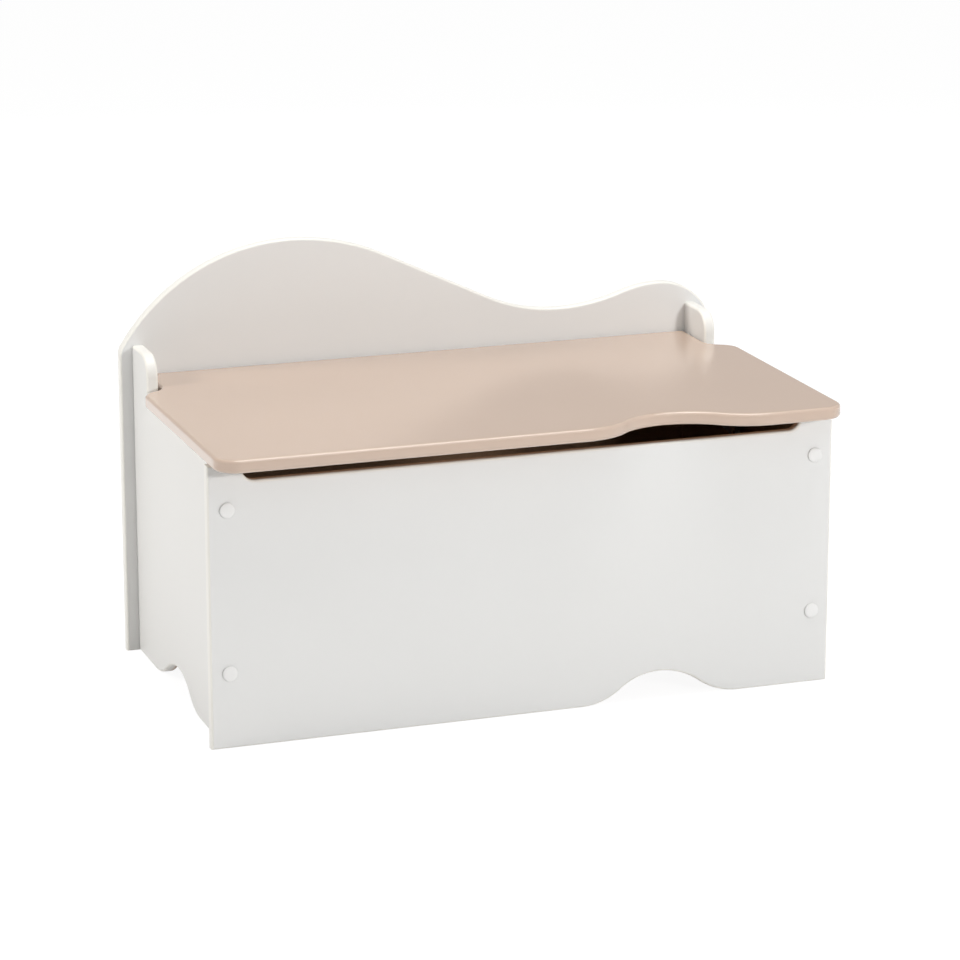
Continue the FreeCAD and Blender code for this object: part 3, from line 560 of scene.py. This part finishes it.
def makeScrews():
    for nodeName in screwNodes:
        parts = loosePieces(nodeName)
        low, high, points = parts[0]
        axis, towards = headEnd(low, high, points)
        across = (axis + 1) % 3
        headRadius = (high[across] - low[across]) / 2
        headHeight = 0.0022
        master = makeScrew(high[axis] - low[axis] - headHeight, headRadius, headHeight)
        places = []
        for low, high, points in parts:
            axis, towards = headEnd(low, high, points)
            spot = (low + high) / 2
            spot[axis] = (high if towards[axis] > 0 else low)[axis] - towards[axis] * headHeight
            places.append((spot, towards))
        spread(master, places, nodeName + "_cross", zincFinish, nodeName)
        bpy.data.objects.remove(master)


makeScrews()
print("screws made")

# stays, bushes and pins: the frame's own shapes with their sharp edges broken
metalwork = {
    "hinge_pin": ("pin_steel", 0.0), "hinge_bush": ("nylon", 0.0002),
    "stay_housing": ("stay_steel", 0.0007), "stay_arm": ("stay_steel", 0.0004),
    "stay_link": ("stay_steel", 0.0004), "stay_bracket": ("stay_steel", 0.0004),
    "stay_axle": ("pin_steel", 0.0002), "stay_elbow_rivet": ("pin_steel", 0.0002),
    "stay_bracket_rivet": ("pin_steel", 0.0002),
}


def breakEdges(nodeName, slotName, width):
    node = frame["nodes"][nodeName]
    piece = bpy.data.objects.new(nodeName + "_eased", node.data.copy())
    scene.collection.objects.link(piece)
    onlySelect(piece)
    bpy.ops.object.mode_set(mode="EDIT")
    bpy.ops.mesh.select_all(action="SELECT")
    bpy.ops.mesh.remove_doubles(threshold=0.00001)
    bpy.ops.mesh.customdata_custom_splitnormals_clear()
    bpy.ops.mesh.dissolve_limited(angle_limit=math.radians(0.5))
    bpy.ops.object.mode_set(mode="OBJECT")
    if width:
        bevel = piece.modifiers.new("easedEdge", "BEVEL")
        bevel.width = width
        bevel.segments = 3
        bevel.limit_method = "ANGLE"
        bevel.angle_limit = math.radians(40)
        bevel.use_clamp_overlap = True
        bpy.ops.object.modifier_apply(modifier=bevel.name)
    bpy.ops.object.shade_smooth_by_angle(angle=math.radians(30))
    weighted = piece.modifiers.new("evenFaces", "WEIGHTED_NORMAL")
    weighted.keep_sharp = True
    bpy.ops.object.modifier_apply(modifier=weighted.name)
    piece.data.materials[0] = finishBySlot[slotName]
    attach(piece, body_of(node)[0])
    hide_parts(nodeName)


for stem, (slotName, width) in metalwork.items():
    for side in ("left", "right"):
        breakEdges(stem + "_" + side, slotName, width)
print("metalwork eased")

# floor and studio light
studio = {
    "floorSize": 60.0, "floorShade": 0.70, "cameraShare": 0.15, "cameraGlow": 0.93,
    "sky": 0.32, "glossSky": 0.42, "horizonHeight": 0.16,
    "lamps": {
        "key": {"azimuth": 18, "elevation": 17, "distance": 3.6, "size": 0.4, "power": 49,
                "colour": (1.0, 1.0, 1.0), "dull": True},
        "front": {"azimuth": 13, "elevation": 44, "distance": 3.6, "size": 2.0, "power": 8,
                  "colour": (0.98, 1.0, 1.0)},
        "left": {"azimuth": -104, "elevation": 28, "distance": 3.8, "size": 1.0, "power": 63,
                 "colour": (1.0, 0.970, 0.925), "dull": True},
        "top": {"azimuth": 60, "elevation": 80, "distance": 3.0, "size": 2.0, "power": 50,
                "colour": (1.0, 0.99, 0.97)},
        "rear": {"azimuth": 168, "elevation": 30, "distance": 3.6, "size": 2.4, "power": 26,
                 "colour": (1.0, 1.0, 1.0), "dull": True},
    },
}


def seenBy(finish, ray):
    return finish.node("ShaderNodeLightPath", output=ray)


def seenDirectly(finish):  # 1 for what the camera, gloss and glass see
    camera, gloss = seenBy(finish, "Is Camera Ray"), seenBy(finish, "Is Glossy Ray")
    clear = seenBy(finish, "Is Transmission Ray")
    return camera.maths("MAXIMUM", camera.maths("MAXIMUM", camera, gloss), clear)


def makeFloor():
    bpy.ops.object.select_all(action="DESELECT")
    bpy.ops.mesh.primitive_plane_add(size=studio["floorSize"], location=(0, 0, 0))
    floor = bpy.context.active_object
    floor.name = "floor"
    finish = Finish("paleFloor")
    shade = studio["floorShade"]
    plain = finish.node("ShaderNodeBsdfDiffuse", None, {"Color": (shade, shade, shade, 1)})
    share = studio["cameraShare"]
    soft = finish.node("ShaderNodeBsdfDiffuse", None, {"Color": (share, share, share, 1)})
    glow = finish.node("ShaderNodeEmission", None,
                       {"Color": (1, 1, 1, 1), "Strength": studio["cameraGlow"]})
    white = finish.node("ShaderNodeAddShader", None, {0: soft, 1: glow})
    both = finish.node("ShaderNodeMixShader", None, {0: seenDirectly(finish), 1: plain, 2: white})
    finish.node2output(both)
    floor.data.materials.append(finish.material)


def makeWorld():
    world = bpy.data.worlds.new("studio")
    scene.world = world
    world.use_nodes = True
    sky = Finish.__new__(Finish)
    sky.tree = world.node_tree
    sky.tree.nodes.clear()
    towards = sky.node("ShaderNodeTexCoord", output="Generated")
    height = sky.node("ShaderNodeSeparateXYZ", None, {0: towards}, output=2)
    camera, gloss = seenBy(sky, "Is Camera Ray"), seenBy(sky, "Is Glossy Ray")
    clear = seenBy(sky, "Is Transmission Ray")
    low = sky.node("ShaderNodeMapRange", None,
                   {"Value": height, "From Min": studio["horizonHeight"], "From Max": 0.0})
    dim = studio["sky"] + gloss * (studio["glossSky"] - studio["sky"])
    white = camera.maths("MAXIMUM", camera.maths("MAXIMUM", camera, clear), gloss * low)
    strength = dim + white * (1 - dim)
    background = sky.node("ShaderNodeBackground", None,
                          {"Color": (1, 1, 1, 1), "Strength": strength})
    output = sky.tree.nodes.new("ShaderNodeOutputWorld")
    sky.tree.links.new(background.socket, output.inputs[0])


def direction(azimuth, elevation):
    a, e = math.radians(azimuth), math.radians(elevation)
    return Vector((math.sin(a) * math.cos(e), -math.cos(a) * math.cos(e), math.sin(e)))


middle = (cadLow + cadHigh) / 2


def makeLamp(name, size):
    bpy.ops.object.light_add(type="AREA")
    lamp = bpy.context.active_object
    lamp.name = name
    lamp.data.shape = "DISK"
    lamp.data.size = size["size"]
    lamp.data.energy = size["power"]
    lamp.data.color = size["colour"]
    lamp.visible_glossy = not size.get("dull", False)  # no hard gleam on the lid
    towards = direction(size["azimuth"], size["elevation"])
    lamp.location = middle + towards * size["distance"]
    lamp.rotation_euler = (-towards).to_track_quat("-Z", "Y").to_euler()


makeFloor()
makeWorld()
for name, size in studio["lamps"].items():
    makeLamp(name, size)
print("studio made")

# camera
eye = {"azimuth": -19.506, "elevation": 15.359, "distance": 4.6394, "lens": 139.04,
       "aimShift": (0.0029, -0.0047, -0.0136)}


def makeCamera():
    data = bpy.data.cameras.new("eye")
    data.lens = eye["lens"]
    data.sensor_width = 36
    camera = bpy.data.objects.new("eye", data)
    scene.collection.objects.link(camera)
    back = direction(eye["azimuth"], eye["elevation"])
    camera.location = middle + Vector(eye["aimShift"]) + back * eye["distance"]
    camera.rotation_euler = (-back).to_track_quat("-Z", "Y").to_euler()
    scene.camera = camera
    scene.view_settings.view_transform = "Standard"


makeCamera()
